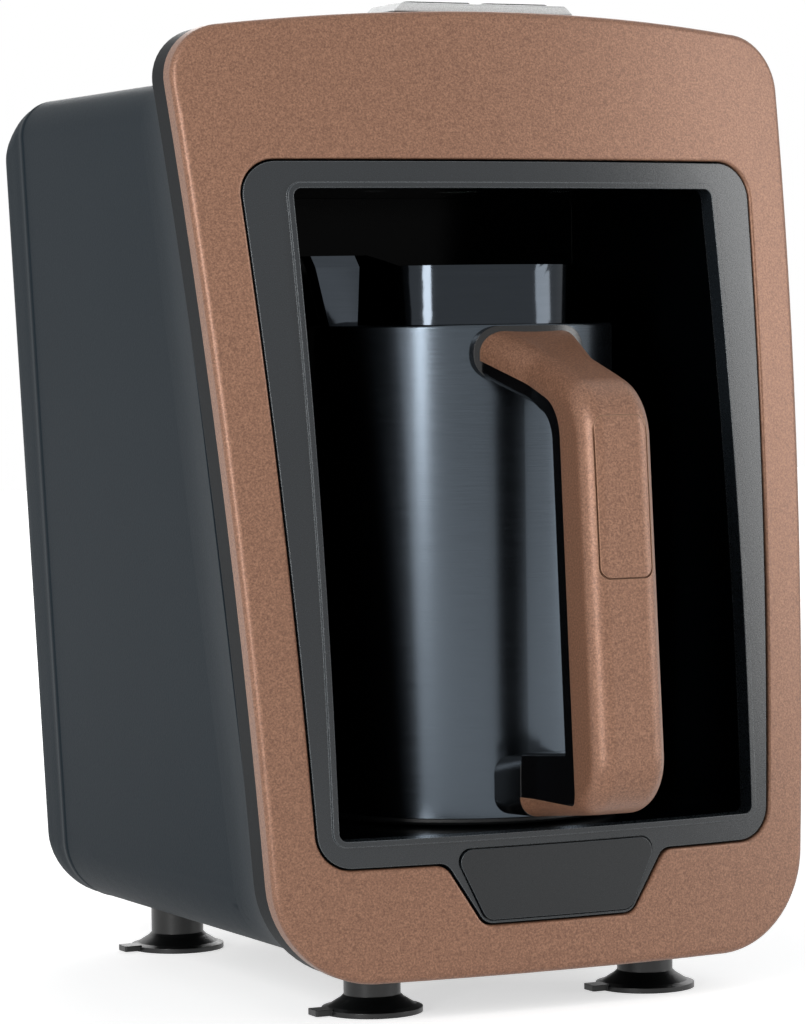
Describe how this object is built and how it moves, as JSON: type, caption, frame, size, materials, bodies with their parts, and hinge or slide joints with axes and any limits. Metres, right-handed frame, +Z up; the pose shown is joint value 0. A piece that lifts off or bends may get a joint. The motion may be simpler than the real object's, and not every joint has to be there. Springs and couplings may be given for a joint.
{
  "type": "electric turkish coffee maker",
  "caption": "Free-standing electric coffee maker with a curved front frame, an open niche and a pull-out steel jug with a side spout and a loop handle.",
  "frame": {"origin": "on the table, under the middle of the whole machine's box", "axes": "+Z up; the machine faces -Y, where the jug's handle points; +X is to the right of someone who faces its front"},
  "size_m": [0.1584, 0.1983, 0.2328],
  "materials": {
    "copper_paint": "satin metallic paint",
    "bezel_grey": "fine satin grain",
    "badge_plain": "satin, left bare",
    "carrier_grey": "fine grain",
    "niche_black": "glossy black",
    "shell_grey": "fine grain",
    "base_black": "grained",
    "foot_rubber": "soft black",
    "plate_silver": "satin silver",
    "key_black": "glossy",
    "lens_clear": "clear",
    "steel_brushed": "satin, brushed upright",
    "steel_screw": "plated",
    "handle_black": "fine grain",
    "board_green": "lacquered board",
    "part_black": "moulded",
    "heater_aluminium": "cast",
    "winding_brass": "lacquered windings and laminations",
    "pin_brass": "plated"
  },
  "bodies": {
    "housing": {"front_frame": "copper_paint", "window_bezel": "bezel_grey", "badge_plate": "badge_plain", "front_carrier": "carrier_grey", "niche_liner": "niche_black", "niche_floor": "niche_black", "outer_shell": "shell_grey", "base_plate": "base_black", "base_screws": "steel_screw", "suction_feet": "foot_rubber", "foot_collars": "base_black", "control_plate": "plate_silver", "brew_key_spring": "steel_screw", "power_key_spring": "steel_screw", "control_board": "board_green", "key_switches": "part_black", "buzzer": "part_black", "sensor_lens": "lens_clear", "lamp_lenses": "lens_clear", "sensor_board": "board_green", "foam_sensor": "part_black", "lamp_leds": "lens_clear", "sensor_board_posts": "base_black", "plug_holder": "part_black", "contact_pins": "pin_brass", "power_board": "board_green", "board_screws": "steel_screw", "relay": "part_black", "transformer": "winding_brass", "smoothing_capacitor": "part_black", "terminal_block": "part_black", "cord_gland": "base_black"},
    "jug": {"jug_shell": "steel_brushed", "jug_collar": "steel_brushed", "jug_base_cap": "base_black", "heater_plate": "heater_aluminium", "heater_element": "steel_screw", "jug_thermostat": "steel_screw", "jug_inlet": "part_black", "handle_liner": "handle_black", "handle_cover": "copper_paint", "handle_pad": "copper_paint", "handle_seat": "handle_black", "handle_bracket": "handle_black", "handle_screws": "steel_screw"},
    "brew_key": {"brew_key": "key_black"},
    "power_key": {"power_key": "key_black"}
  },
  "joints": [
    {"name": "jug_pull", "type": "slide", "parent": "housing", "child": "jug", "axis": [0, -1, 0], "range_m": [0, 0.14]},
    {"name": "brew_press", "type": "slide", "parent": "housing", "child": "brew_key", "axis": [0, 0, -1], "range_m": [0, 0.0012], "stiffness_N_per_m": 400, "springref_m": -0.002, "deforming": ["brew_key_spring"]},
    {"name": "power_press", "type": "slide", "parent": "housing", "child": "power_key", "axis": [0, 0, -1], "range_m": [0, 0.0012], "stiffness_N_per_m": 400, "springref_m": -0.002, "deforming": ["power_key_spring"]}
  ]
}
